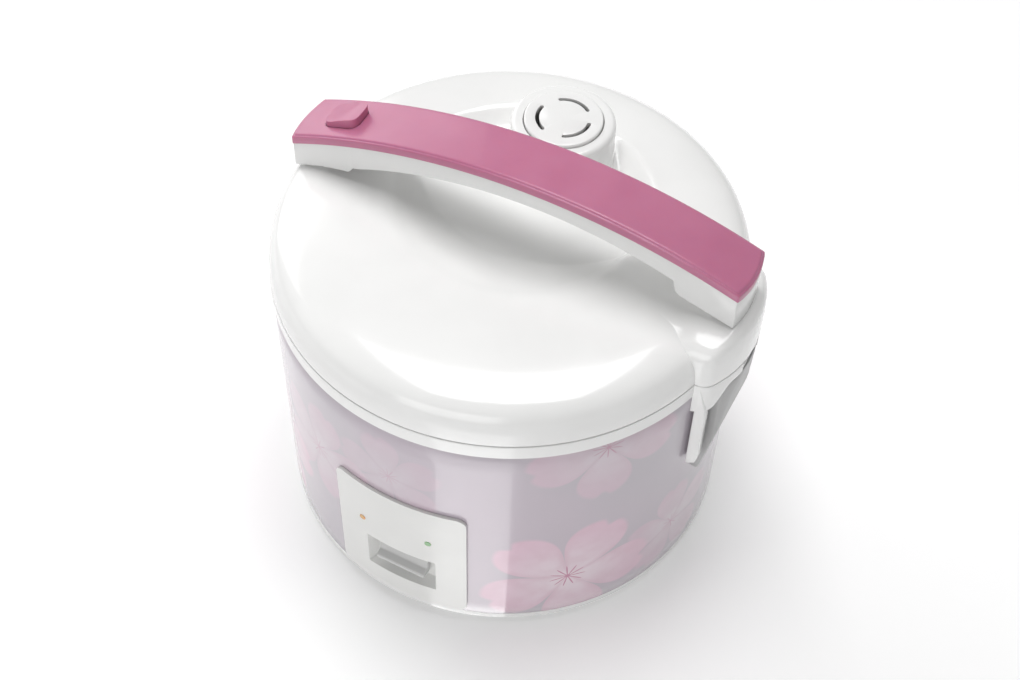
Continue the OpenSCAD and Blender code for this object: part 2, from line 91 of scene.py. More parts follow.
def add_mesh(name, verts, faces):
    """New object from millimetre points, welded, with its normals outward."""
    mesh = bpy.data.meshes.new(name)
    mesh.from_pydata([[c * MM for c in v] for v in verts], [], faces)
    bm = bmesh.new()
    bm.from_mesh(mesh)
    bmesh.ops.remove_doubles(bm, verts=bm.verts, dist=1e-7)
    bmesh.ops.recalc_face_normals(bm, faces=bm.faces)
    bm.to_mesh(mesh)
    bm.free()
    obj = bpy.data.objects.new(name, mesh)
    scene.collection.objects.link(obj)
    return obj


def apply_modifiers(obj):
    """Swap the object's mesh for the one that its modifiers make."""
    bpy.context.view_layer.update()
    depsgraph = bpy.context.evaluated_depsgraph_get()
    mesh = bpy.data.meshes.new_from_object(obj.evaluated_get(depsgraph))
    obj.modifiers.clear()
    obj.data = mesh
    return obj


def round_edges(obj, width, segments=3, angle=35):
    bevel = obj.modifiers.new("Edges", "BEVEL")
    bevel.width = width * MM
    bevel.segments = segments
    bevel.limit_method = "ANGLE"
    bevel.angle_limit = math.radians(angle)
    bevel.use_clamp_overlap = True
    bevel.miter_outer = "MITER_ARC"
    return apply_modifiers(obj)


def boolean(obj, other, operation):
    cut = obj.modifiers.new("Cut", "BOOLEAN")
    cut.operation = operation
    cut.solver = "EXACT"
    cut.object = other
    apply_modifiers(obj)
    bpy.data.objects.remove(other)
    return obj


def join(name, parts):
    bm = bmesh.new()
    for part in parts:
        bm.from_mesh(part.data)
        bpy.data.objects.remove(part)
    mesh = bpy.data.meshes.new(name)
    bm.to_mesh(mesh)
    bm.free()
    obj = bpy.data.objects.new(name, mesh)
    scene.collection.objects.link(obj)
    return obj


def place(obj, name, material, body, replaced=(), angle=32):
    """Name a finished piece, shade it, tie it to its body and hide the CAD nodes it replaces."""
    obj.name = name
    obj.data.name = name
    obj.data.materials.clear()
    obj.data.materials.append(material)
    obj.data.shade_smooth()
    obj.data.set_sharp_from_angle(angle=math.radians(angle))
    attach(obj, body)
    if replaced:
        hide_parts(*replaced)
    return obj


def lathe(name, profile, centre=(0.0, 0.0), segments=256):
    """Closed solid of revolution from a loop of (r, z) points."""
    verts, faces, rings = [], [], []
    for r, z in profile:
        if r < 1e-6:
            rings.append([len(verts)] * segments)
            verts.append((centre[0], centre[1], z))
        else:
            rings.append(list(range(len(verts), len(verts) + segments)))
            for i in range(segments):
                a = 2 * math.pi * i / segments
                verts.append((centre[0] + r * math.cos(a), centre[1] + r * math.sin(a), z))
    for k in range(len(rings)):
        a, b = rings[k], rings[(k + 1) % len(rings)]
        for i in range(segments):
            j = (i + 1) % segments
            quad = []
            for v in (a[i], a[j], b[j], b[i]):
                if v not in quad:
                    quad.append(v)
            if len(quad) > 2:
                faces.append(quad)
    return add_mesh(name, verts, faces)


def rounded(corners, steps=5):
    """Loop of points with each corner (x, y, radius) replaced by a smooth curve."""
    out = []
    n = len(corners)
    for i, (x, y, r) in enumerate(corners):
        p = Vector((x, y))
        if r <= 0:
            out.append((x, y))
            continue
        a = Vector(corners[i - 1][:2]) - p
        b = Vector(corners[(i + 1) % n][:2]) - p
        half = max(0.05, a.angle(b) / 2)
        reach = min(r / math.tan(half), a.length * 0.49, b.length * 0.49)
        start, end = p + a.normalized() * reach, p + b.normalized() * reach
        for k in range(steps + 1):
            t = k / steps
            q = (1 - t) ** 2 * start + 2 * t * (1 - t) * p + t * t * end
            out.append((q.x, q.y))
    return out


def spaced(n):
    """The numbers from 0 to 1 in n equal steps."""
    return [i / n for i in range(n + 1)]


def bent_box(name, us, vs, ws, shape):
    """Surface of a box lattice, each lattice point moved by shape(u, v, w)."""
    index, verts, faces = {}, [], []
    nu, nv, nw = len(us) - 1, len(vs) - 1, len(ws) - 1

    def vert(i, j, k):
        if (i, j, k) not in index:
            index[i, j, k] = len(verts)
            verts.append(shape(us[i], vs[j], ws[k]))
        return index[i, j, k]

    for i in range(nu):
        for j in range(nv):
            for k in (0, nw):
                faces.append([vert(i, j, k), vert(i + 1, j, k), vert(i + 1, j + 1, k), vert(i, j + 1, k)])
    for i in range(nu):
        for k in range(nw):
            for j in (0, nv):
                faces.append([vert(i, j, k), vert(i + 1, j, k), vert(i + 1, j, k + 1), vert(i, j, k + 1)])
    for j in range(nv):
        for k in range(nw):
            for i in (0, nu):
                faces.append([vert(i, j, k), vert(i, j + 1, k), vert(i, j + 1, k + 1), vert(i, j, k + 1)])
    return add_mesh(name, verts, faces)


def prism(name, outline, low, high, across="z"):
    """Solid from a 2-D outline, extruded along z, y or x."""
    n = len(outline)
    turn = {
        "z": lambda a, b, c: (a, b, c),
        "y": lambda a, b, c: (a, c, b),
        "x": lambda a, b, c: (c, a, b),
    }[across]
    verts = [turn(a, b, low) for a, b in outline] + [turn(a, b, high) for a, b in outline]
    faces = [list(range(n)), list(range(n, 2 * n))]
    faces += [[i, (i + 1) % n, n + (i + 1) % n, n + i] for i in range(n)]
    return add_mesh(name, verts, faces)


def lerp(a, b, t):
    return a + (b - a) * t


def along(table, x):
    """Value at x of a table of (x, value) points, in straight lines."""
    if x <= table[0][0]:
        return table[0][1]
    for (x0, y0), (x1, y1) in zip(table, table[1:]):
        if x <= x1:
            return lerp(y0, y1, (x - x0) / (x1 - x0)) if x1 > x0 else y1
    return table[-1][1]


def smoothstep(t):
    t = min(1.0, max(0.0, t))
    return t * t * (3 - 2 * t)


def spline(points, steps):
    """Smooth curve through the points."""
    out = []
    for i in range(len(points) - 1):
        p0 = Vector(points[max(0, i - 1)])
        p1, p2 = Vector(points[i]), Vector(points[i + 1])
        p3 = Vector(points[min(len(points) - 1, i + 2)])
        for k in range(steps):
            t = k / steps
            square = 2 * p0 - 5 * p1 + 4 * p2 - p3
            cube = 3 * p1 - p0 - 3 * p2 + p3
            q = 0.5 * (2 * p1 + (p2 - p0) * t + square * t * t + cube * t**3)
            out.append((q.x, q.y))
    out.append(tuple(points[-1]))
    return out


# ---------------------------------------------------------------- materials


class Graph:
    """Short names for the nodes of one material."""

    def __init__(self, name):
        self.mat = bpy.data.materials.new(name)
        self.mat.use_nodes = True
        self.tree = self.mat.node_tree
        self.tree.nodes.clear()
        self.out = self.tree.nodes.new("ShaderNodeOutputMaterial")
        self.bsdf = self.tree.nodes.new("ShaderNodeBsdfPrincipled")
        self.tree.links.new(self.bsdf.outputs[0], self.out.inputs[0])
        self.coords = self.tree.nodes.new("ShaderNodeTexCoord").outputs["Object"]

    def put(self, socket, value):
        if isinstance(value, bpy.types.NodeSocket):
            self.tree.links.new(value, socket)
        else:
            socket.default_value = value

    def math(self, op, a, b=0.0, c=0.0):
        node = self.tree.nodes.new("ShaderNodeMath")
        node.operation = op
        for socket, value in zip(node.inputs, (a, b, c)):
            self.put(socket, value)
        return node.outputs[0]

    def steps(self, value, low, high, out_low=0.0, out_high=1.0):
        node = self.tree.nodes.new("ShaderNodeMapRange")
        node.interpolation_type = "SMOOTHSTEP"
        names = ("Value", "From Min", "From Max", "To Min", "To Max")
        for key, v in zip(names, (value, low, high, out_low, out_high)):
            self.put(node.inputs[key], v)
        return node.outputs[0]

    def mix(self, factor, a, b):
        node = self.tree.nodes.new("ShaderNodeMix")
        node.data_type = "RGBA"
        self.put(node.inputs["Factor"], factor)
        self.put(node.inputs[6], a)
        self.put(node.inputs[7], b)
        return node.outputs[2]

    def noise(self, scale, detail=3.0, stretch=(1.0, 1.0, 1.0)):
        mapping = self.tree.nodes.new("ShaderNodeMapping")
        mapping.inputs["Scale"].default_value = stretch
        self.tree.links.new(self.coords, mapping.inputs[0])
        node = self.tree.nodes.new("ShaderNodeTexNoise")
        node.inputs["Scale"].default_value = scale
        node.inputs["Detail"].default_value = detail
        self.tree.links.new(mapping.outputs[0], node.inputs["Vector"])
        return node.outputs["Fac"]

    def bump(self, height, strength, distance):
        node = self.tree.nodes.new("ShaderNodeBump")
        node.inputs["Strength"].default_value = strength
        node.inputs["Distance"].default_value = distance
        self.tree.links.new(height, node.inputs["Height"])
        self.tree.links.new(node.outputs[0], self.bsdf.inputs["Normal"])

    def set(self, **values):
        for key, value in values.items():
            self.put(self.bsdf.inputs[key.replace("_", " ")], value)


def rgba(r, g, b):
    """Linear colour from an 8-bit screen colour."""
    def linear(c):
        return ((c / 255 + 0.055) / 1.055) ** 2.4 if c > 10 else c / 255 / 12.92

    return (linear(r), linear(g), linear(b), 1.0)


def plastic(name, colour, shade, rough=0.22, coat=0.0, grain=900.0, grain_depth=2e-5,
            grain_strength=0.1, subsurface=0.0):
    """Moulded plastic: faint clouding of the colour and gloss, and a fine surface grain."""
    g = Graph(name)
    cloud = g.steps(g.noise(24.0, 4.0), 0.3, 0.7)
    g.set(Base_Color=g.mix(cloud, colour, shade))
    g.set(Roughness=g.steps(g.noise(60.0, 2.0), 0.2, 0.8, rough * 0.85, rough * 1.15))
    g.bsdf.inputs["IOR"].default_value = 1.46
    g.bsdf.inputs["Coat Weight"].default_value = coat
    g.bsdf.inputs["Coat Roughness"].default_value = 0.06
    g.bsdf.inputs["Subsurface Weight"].default_value = subsurface
    g.bsdf.inputs["Subsurface Scale"].default_value = 0.003
    g.bump(g.noise(grain, 2.0), grain_strength, grain_depth)
    return g.mat


def metal(name, colour, shade, rough=0.3, stretch=(1.0, 1.0, 1.0), scale=300.0):
    """Metal with directional brushing or turning."""
    g = Graph(name)
    lines = g.noise(scale, 3.0, stretch)
    g.set(Base_Color=g.mix(lines, colour, shade))
    g.set(Roughness=g.steps(lines, 0.2, 0.8, rough * 0.75, rough * 1.3))
    g.bsdf.inputs["Metallic"].default_value = 1.0
    g.bump(lines, 0.15, 2e-5)
    return g.mat


# Each roughness keeps to one side of 0.27 over its whole spread: the denoiser's guide jumps there.
# WAVY is the slow waviness of a polished moulding, in place of a grain.
WAVY = {"grain": 40.0, "grain_depth": 4e-4, "grain_strength": 0.12}
WHITE = plastic("gloss_white", rgba(244, 244, 243), rgba(241, 241, 240), rough=0.16, coat=0.25,
                **WAVY)
# Painted shade: the handle's white side is the gloss white plastic made a little darker to stand in for shade
# on it.
HANDLE_PAINTED_SHADE_WHITE = plastic("handle_white_painted_shade", rgba(234, 234, 233), rgba(231, 231, 230), rough=0.2, coat=0.2,
                       **WAVY)
PANEL_WHITE = plastic("satin_panel_white", rgba(233, 233, 231), rgba(229, 229, 227), rough=0.34, grain=2600.0)
INNER_WHITE = plastic("satin_inner_white", rgba(226, 226, 224), rgba(220, 220, 218), rough=0.42, grain=2200.0)
LEVER_GREY = plastic("satin_lever_grey", rgba(205, 205, 204), rgba(199, 199, 198), rough=0.36, grain=2400.0)
PINK = plastic("gloss_pink", rgba(193, 117, 148), rgba(187, 110, 142), rough=0.34, coat=0.15,
               subsurface=0.15, **WAVY)
# Painted shade: the hinge wedge is the same white plastic as the housing, coloured grey to stand in for the
# shade on its side.
WEDGE_PAINTED_SHADE = plastic("hinge_white_painted_shade", rgba(181, 181, 181), rgba(176, 176, 176), rough=0.38, grain=2400.0)
# Painted shade: the dark grey of the slot strips stands in for the shade deep in the gaps beside the ribs.
PAINTED_SLOT_SHADE = plastic("slot_shade_paint", rgba(98, 98, 98), rgba(92, 92, 92), rough=0.5, grain=2400.0)
BLACK = plastic("matte_black", rgba(32, 32, 33), rgba(24, 24, 25), rough=0.5, grain=1800.0)
AMBER = plastic("amber_lens", rgba(232, 178, 120), rgba(222, 166, 108), rough=0.12, subsurface=0.4)
GREEN = plastic("green_lens", rgba(170, 208, 168), rgba(158, 198, 158), rough=0.12, subsurface=0.4)
BOARD = plastic("board_green", rgba(38, 92, 52), rgba(30, 80, 44), rough=0.4, grain=500.0, grain_strength=0.3)
SILICONE = plastic("silicone", rgba(222, 222, 218), rgba(214, 214, 210), rough=0.55, subsurface=0.2)
RUBBER = plastic("foot_rubber", rgba(58, 58, 58), rgba(48, 48, 48), rough=0.7, grain=1200.0,
                 grain_strength=0.3)
STEEL = metal("bare_steel", (0.62, 0.62, 0.62, 1), (0.5, 0.5, 0.5, 1), rough=0.38, stretch=(1, 1, 40),
              scale=60)
FOIL = metal("heater_foil", (0.7, 0.7, 0.71, 1), (0.6, 0.6, 0.61, 1), rough=0.42)
CAST = metal("cast_aluminium", (0.66, 0.66, 0.67, 1), (0.52, 0.52, 0.53, 1), rough=0.38, scale=500)
LID_METAL = metal("lid_aluminium", (0.76, 0.76, 0.77, 1), (0.68, 0.68, 0.69, 1), rough=0.38, scale=700)
DARK_STEEL = metal("heater_steel", (0.3, 0.3, 0.3, 1), (0.22, 0.21, 0.2, 1), rough=0.42)
SCREW = metal("screw_steel", (0.55, 0.55, 0.57, 1), (0.45, 0.45, 0.47, 1), rough=0.2)
SPRING = metal("spring_steel", (0.6, 0.6, 0.61, 1), (0.5, 0.5, 0.51, 1), rough=0.2)
MAGNET = metal("magnet", (0.2, 0.2, 0.21, 1), (0.14, 0.14, 0.15, 1), rough=0.4)
BRASS = metal("brass_pins", (0.75, 0.58, 0.28, 1), (0.64, 0.48, 0.22, 1), rough=0.2)


def pot_coating():
    """Dark non-stick coating with pale speckles."""
    g = Graph("pot_coating")
    speckle = g.steps(g.noise(1400.0, 2.0), 0.62, 0.7)
    g.set(Base_Color=g.mix(speckle, rgba(62, 62, 64), rgba(104, 104, 106)))
    g.set(Roughness=g.steps(g.noise(90.0, 2.0), 0.2, 0.8, 0.34, 0.44))
    g.bump(g.noise(1100.0, 2.0), 0.25, 4e-5)
    return g.mat


POT = pot_coating()

# Blossoms printed on the skin: arc from the front, height, petal length, turn of a petal axis, strength
BLOSSOMS = [
    (100.0, 46.0, 54.0, 62.0, 1.0),
    (117.0, 166.0, 46.0, -90.0, 0.55),
    (172.0, 48.0, 38.0, 20.0, 0.55),
    (-3.0, 128.0, 34.0, 30.0, 0.32),
    (-58.0, 104.0, 42.0, 75.0, 0.48),
    (-120.0, 60.0, 50.0, 10.0, 0.9),
    (-185.0, 132.0, 44.0, 50.0, 0.8),
    (-262.0, 70.0, 50.0, -20.0, 0.9),
    (-340.0, 140.0, 42.0, 15.0, 0.8),
    (330.0, 60.0, 46.0, 35.0, 0.9),
    (262.0, 136.0, 40.0, -10.0, 0.75),
]


def print_blossom(g, colour, arc, height, s0, z0, size, turn, strength):
    """The colour with one five-petalled blossom laid over it, centred on arc length s0 and height z0."""
    dx, dz = g.math("SUBTRACT", arc, s0), g.math("SUBTRACT", height, z0)
    radius = g.math("SQRT", g.math("ADD", g.math("MULTIPLY", dx, dx), g.math("MULTIPLY", dz, dz)))
    angle = g.math("SUBTRACT", g.math("ARCTAN2", dz, dx), math.radians(turn))

    # Petals: five lobes, each with a small notch at its tip
    lobe = g.math("ABSOLUTE", g.math("COSINE", g.math("MULTIPLY", angle, 2.5)))
    notch = g.math("MULTIPLY", g.math("POWER", lobe, 60.0), -0.09)
    edge = g.math("MULTIPLY", g.math("ADD", g.math("POWER", lobe, 0.26), notch), size)
    inside = g.steps(g.math("SUBTRACT", edge, radius), -2.0, 2.6)

    # Petal colour: deeper to the tip, along the folds between petals and in faint veins
    reach = g.math("DIVIDE", radius, size)
    petal = g.mix(g.steps(reach, 0.1, 0.95), rgba(232, 216, 224), rgba(224, 188, 205))
    petal = g.mix(g.steps(lobe, 0.0, 0.55, 0.45, 0.0), petal, rgba(212, 172, 190))
    veins = g.steps(g.noise(75.0, 2.0), 0.35, 0.7, 0.0, 0.4)
    petal = g.mix(veins, petal, rgba(214, 176, 192))
    colour = g.mix(g.math("MULTIPLY", inside, 0.85 * strength), colour, petal)

    # Stamens: eleven fine rays
    ray = g.math("POWER", g.math("ABSOLUTE", g.math("COSINE", g.math("MULTIPLY", angle, 5.5))), 9.0)
    tip = g.math("MULTIPLY", g.math("ADD", g.math("MULTIPLY", ray, 0.17), 0.035), size)
    star = g.steps(g.math("SUBTRACT", tip, radius), -0.4, 0.8)
    return g.mix(g.math("MULTIPLY", star, 0.85 * strength), colour, rgba(190, 118, 148))


def printed_skin():
    """Lacquered metal with a pale print of blossoms."""
    g = Graph("printed_skin")
    split = g.tree.nodes.new("ShaderNodeSeparateXYZ")
    g.tree.links.new(g.coords, split.inputs[0])
    x, y, z = split.outputs
    arc = g.math("MULTIPLY", g.math("ARCTAN2", x, g.math("MULTIPLY", y, -1.0)), BODY_R)
    height = g.math("MULTIPLY", z, 1000.0)
    wash = g.steps(g.noise(9.0, 2.0), 0.35, 0.65)
    colour = g.mix(wash, rgba(189, 182, 190), rgba(194, 183, 193))
    for blossom in BLOSSOMS:
        colour = print_blossom(g, colour, arc, height, *blossom)
    g.set(Base_Color=colour)
    g.set(Roughness=g.steps(g.noise(80.0, 2.0), 0.2, 0.8, 0.2, 0.26))
    g.bsdf.inputs["Coat Weight"].default_value = 0.55
    g.bsdf.inputs["Coat Roughness"].default_value = 0.05
    g.bump(g.noise(30.0, 2.0), 0.1, 3e-4)
    return g.mat


SKIN = printed_skin()

SLOT_MATERIAL = {
    "white_plastic": WHITE,
    "inner_plastic": INNER_WHITE,
    "lever_plastic": LEVER_GREY,
    "printed_skin": SKIN,
    "pink_plastic": PINK,
    "bare_steel": STEEL,
    "heater_foil": FOIL,
    "cast_aluminium": CAST,
    "lid_aluminium": LID_METAL,
    "pot_coating": POT,
    "heater_steel": DARK_STEEL,
    "screw_steel": SCREW,
    "spring_steel": SPRING,
    "magnet": MAGNET,
    "black_plastic": BLACK,
    "brass_pins": BRASS,
    "amber_lens": AMBER,
    "green_lens": GREEN,
    "circuit_board": BOARD,
    "silicone": SILICONE,
    "foot_rubber": RUBBER,
}
for part in frame["record"]["subparts"]:
    cad = nodes[part["node"]]
    cad.data.materials.clear()
    cad.data.materials.append(SLOT_MATERIAL[part["material_slot"]])


# ---------------------------------------------------------------- lid


LID_PROFILE = spline(
    [(133.2, 180.6), (133.15, 184.0), (132.5, 189.5), (130.7, 195.0), (127.6, 199.4), (122.6, 202.3),
     (115.6, 204.1), (106.0, 205.2), (95.0, 205.8), (84.0, 206.0)], 8)


def lid_height(x, y, z):
    """Crown height lowered by the dish, with its flat land round the vent."""
    rim = DISH_R - math.hypot(x - DISH_X, y - DISH_Y)
    from_vent = math.hypot(x - VENT[0], y - VENT[1])
    if rim > 0:
        gap = from_vent - LAND_R
        outside = 0.5 * (gap + math.sqrt(gap * gap + 0.6))
        fall = (rim / (rim + outside)) ** 1.35
        z -= DISH_DEPTH * fall * smoothstep(rim / 14)
    fillet_r, wall_r, fillet_h = 35, 29, 3.2
    if from_vent < fillet_r:
        z += fillet_h * ((fillet_r - max(from_vent, wall_r)) / (fillet_r - wall_r)) ** 2
    return z


def stem_hole(low, high):
    """Cutter for the hole that the button's stem passes through."""
    return lathe("stem_hole", [(0, low), (STEM_HOLE_R, low), (STEM_HOLE_R, high), (0, high)], (STEM_X, 0), 48)


def build_lid():
    """Dome with its dish, as a wall of even thickness, and the round wall of the vent."""
    segments = 432
    rings = [(133.0, 180.25)] + LID_PROFILE + [(82.6 - 1.18 * i, CROWN) for i in range(70)]
    verts, faces = [], []
    for r, z in rings:
        for i in range(segments):
            a = 2 * math.pi * i / segments
            x, y = r * math.cos(a), r * math.sin(a)
            verts.append((x, y, lid_height(x, y, z) if r < 100 else z))
    verts.append((0.0, 0.0, lid_height(0.0, 0.0, CROWN)))

    def open_vent(face):
        x = sum(verts[v][0] for v in face) / len(face)
        y = sum(verts[v][1] for v in face) / len(face)
        return math.hypot(x - VENT[0], y - VENT[1]) < 26.0

    for k in range(len(rings) - 1):
        for i in range(segments):
            j = (i + 1) % segments
            face = [k * segments + i, k * segments + j, (k + 1) * segments + j, (k + 1) * segments + i]
            if not open_vent(face):
                faces.append(face)
    last = (len(rings) - 1) * segments
    faces += [[last + i, last + (i + 1) % segments, len(verts) - 1] for i in range(segments)]
    lid = add_mesh("lid_top", verts, faces)
    shell = lid.modifiers.new("Wall", "SOLIDIFY")
    shell.thickness = 2.2 * MM
    shell.offset = -1
    apply_modifiers(lid)
    boolean(lid, stem_hole(190, 215), "DIFFERENCE")
    wall = lathe("vent_wall", rounded([
        (23.3, 196.5, 0), (29.6, 196.5, 0), (29.4, 228.4, 3.8), (22.7, 228.4, 0.8), (22.7, 225.9, 0.2),
        (23.3, 225.9, 0)], 8), VENT, 192)
    return join("lid_top", [lid, wall])


place(build_lid(), "lid_top", WHITE, "lid", ["lid_outer"], 40)


def hump_x(y):
    """Outer edge of the hinge block, its vertical corners rounded."""
    turn = 4.0
    corner = max(0.0, abs(y) - (HUMP_HALF - 0.1 - turn))
    return HUMP_X + math.sqrt(HUMP_R**2 - y * y) - turn + math.sqrt(max(0.0, turn * turn - corner * corner))


def build_lid_boss():
    """Raised block over the hinge; its top runs out of the dome in a soft fillet."""
    dome = sorted(LID_PROFILE) + [(140.0, 150.0)]
    reach, soft, floor, crown_r = HUMP_HALF - 0.1, 7.0, LID + 0.25, 104
    ends = [reach - soft + soft * math.sin(math.pi * k / 20) for k in range(11)]
    across = [-y for y in reversed(ends)] + [-29 + 58 * j / 28 for j in range(29)] + ends
    rows = len(across) - 1
    outline = []
    for y in across:
        edge = hump_x(y)
        side = max(0.0, abs(y) - (reach - soft))
        sink = soft - math.sqrt(max(0.0, soft * soft - side * side))
        crown = crown_r - math.sqrt(crown_r**2 - y * y) + sink
        top = spline([(88, 196.0), (98, 200.6), (107, 205.0), (116, 208.4), (121, 209.8), (126, 210.5)], 5)
        path = [(88, 188), *[(x, z - crown * smoothstep((x - 92) / 26)) for x, z in top]]
        path += rounded([(126, 210.5 - crown, 0), (edge - 0.6, 210.7 - crown, 13), (edge, 195, 8),
                         (edge, floor, 0.4), (118, floor, 0), (118, 188, 0)], 8)[1:]
        row = []
        for x, z in path:
            if z > 194:
                under = along(dome, math.hypot(x, y)) - 0.35 - 5 * smoothstep((abs(y) - 22) / 14)
                z = 0.5 * (z + under + math.sqrt((z - under) ** 2 + 7.0))
                z = min(z, 210.85)
            row.append((x, y, z))
        outline.append(row)
    n = len(outline[0])
    verts = [p for row in outline for p in row]
    faces = [[j * n + i, j * n + (i + 1) % n, (j + 1) * n + (i + 1) % n, (j + 1) * n + i]
             for j in range(rows) for i in range(n)]
    faces += [list(range(n)), list(range(rows * n, rows * n + n))]
    return add_mesh("lid_boss", verts, faces)


place(build_lid_boss(), "lid_hinge_boss", WHITE, "lid", (), 40)


# ---------------------------------------------------------------- vent cap


def arc_slot(turn, half, inner, outer):
    """Outline of a round-ended arc slot about the vent, from its radii and its half angle in degrees."""
    def at(centre, r, angle):
        return (centre[0] + r * math.cos(angle), centre[1] + r * math.sin(angle))

    middle, width = (inner + outer) / 2, (outer - inner) / 2
    start, end = math.radians(turn - half), math.radians(turn + half)
    outline = [at(VENT, outer, math.radians(turn - half + 2 * half * k / 24)) for k in range(25)]
    outline += [at(at(VENT, middle, end), width, end + math.pi * k / 8) for k in range(1, 8)]
    outline += [at(VENT, inner, math.radians(turn + half - 2 * half * k / 24)) for k in range(25)]
    outline += [at(at(VENT, middle, start), width, start + math.pi + math.pi * k / 8) for k in range(1, 8)]
    return outline


def build_vent_cap():
    """Round cap with a skirt and three steam slots."""
    cap = lathe("cap", rounded([
        (0, 227, 0), (19.4, 227, 0), (19.4, 212, 0), (20.7, 212, 0.4), (20.7, 226, 0), (22.2, 226, 0.3),
        (22.2, 230, 1.1), (0, 230, 0)], 4), VENT, 192)
    for turn in (88, 208, 332):
        boolean(cap, prism("slot", arc_slot(turn, 36, 13.6, 15.9), 220, 235), "DIFFERENCE")
    return round_edges(cap, 0.3, 2, 60)


place(build_vent_cap(), "vent_cap_top", WHITE, "steam_cap", ["vent_cap"], 40)


# ---------------------------------------------------------------- handle


def arch_z(x, r):
    """Height of the arch of radius r at x."""
    return ARCH_Z + math.sqrt(r * r - (x - ARCH_X) ** 2)


def handle_x(u, y, shrink):
    """Place along the handle, from u = 0 at the button end to 1 at the hinge end; both ends are bowed."""
    bow = END_R - shrink - math.sqrt((END_R - shrink) ** 2 - y * y)
    return lerp(HANDLE_X0 + shrink + bow, HANDLE_X1 - shrink - bow, u)


def arch_block(name, half, shrink, top, depth, bevel, segments=4):
    """Bar that follows the arch, between two depths below it."""
    def shape(u, v, w):
        y = lerp(-half, half, v)
        x = handle_x(u, y, shrink)
        return (x, y, arch_z(x, ARCH_R - lerp(depth, top, w)))

    return round_edges(bent_box(name, spaced(120), spaced(14), [0, 1], shape), bevel, segments, 45)


def button_outline(grow):
    x0, x1 = BUTTON_X - BUTTON_HALF_X - grow, BUTTON_X + BUTTON_HALF_X + grow
    half_y, r = BUTTON_HALF_Y + grow, BUTTON_CORNER + grow
    return rounded([(x0, -half_y, r), (x1, -half_y, r), (x1, half_y, r), (x0, half_y, r)], 8)


def build_handle_cover():
    """Pink top with a lip round it and the hole for the button."""
    top = arch_block("cover", 16.7, 0.8, 0.06, 5.0, 1.6)
    lip = arch_block("lip", 17.5, 0.0, 0.85, 6.0, 0.9, 3)
    for part in (top, lip):
        boolean(part, prism("hole", button_outline(0.35), 190, 260), "DIFFERENCE")
    return join("handle_cover_shell", [top, lip])


place(build_handle_cover(), "handle_cover_shell", PINK, "lid", ["handle_cover"], 30)


def base_bottom(x):
    """Lower edge of the handle's white side: an arch between two thicker ends."""
    if -89.5 < x < 102.5:
        return -24.2 + math.sqrt(265.0**2 - (x - 22) ** 2)
    left = [(-131, 200.8), (-110.9, 208.4), (-96.5, 211.7), (-94.4, 211.9), (-93.0, 212.8), (-89.5, 217.2)]
    right = [(102.5, 227.9), (104.3, 221.0), (106.9, 218.8), (141, 209.6)]
    return along(left if x < 0 else right, x)


def build_handle_base():
    """White side of the handle with a neck down into the lid at each end."""
    ends = [-129.1, -124, -118, -110.9, -103, -96.5, -94.4, -93.0, -91.5, -89.6, -89.4]
    middle = [-86 + 188 * i / 60 for i in range(61)]
    tail = [102.4, 102.6, 103.5, 104.5, 106.9, 112, 118, 124, 131, 138.1]
    x0, x1 = ends[0], tail[-1]
    us = [(x - x0) / (x1 - x0) for x in ends + middle[:-1] + [101] + tail]

    def shape(u, v, w):
        y = lerp(-17, 17, v)
        x = handle_x(u, y, 0.5)
        return (x, y, lerp(base_bottom(lerp(x0, x1, u)), arch_z(x, ARCH_R - 5.9), w))

    main = round_edges(bent_box("base", us, spaced(10), [0, 1], shape), 0.9, 3, 45)
    left = prism("neck", [(-125, 196), (-109, 196), (-109, 211), (-125, 206)], -13.5, 13.5, "y")
    right = prism("neck", [(119.5, 203), (136, 203), (136, 214), (119.5, 217)], -12.4, 12.4, "y")
    pocket = prism("pocket", button_outline(0.8), 214.6, 262)
    boolean(main, pocket, "DIFFERENCE")
    boolean(main, stem_hole(200, 220), "DIFFERENCE")
    return join("handle_base_arch", [main, left, right])


# Painted shade: the handle's white side uses the darker copy of the gloss white.
place(build_handle_base(), "handle_base_arch", HANDLE_PAINTED_SHADE_WHITE, "lid", ["handle_base"], 30)


def build_button():
    """Button that rises towards the middle of the handle, on a stem that reaches the hook."""
    def roof(u, v, w):
        x = lerp(-124, -84, u)
        rise = lerp(2.9, 5.5, smoothstep((x + 114) / 20))
        return (x, lerp(-14, 14, v), 270 if w else arch_z(x, ARCH_R + rise))

    cap = prism("button", button_outline(0), 222.6, 262)
    boolean(cap, bent_box("roof", spaced(20), spaced(2), [0, 1], roof), "DIFFERENCE")
    round_edges(cap, 1.4, 4, 50)
    stem = lathe("stem", [(0, 196.4), (1, 196.4), (1, 199), (3, 199), (3, 224), (0, 224)], (STEM_X, 0), 32)
    return join("latch_button_cap", [cap, stem])


place(build_button(), "latch_button_cap", PINK, "button", ["latch_button"], 40)


# ---------------------------------------------------------------- body


def cylinder_point(r, s, z):
    """Point at arc length s from the front of a cylinder of radius r."""
    a = s / BODY_R
    return (r * math.sin(a), -r * math.cos(a), z)


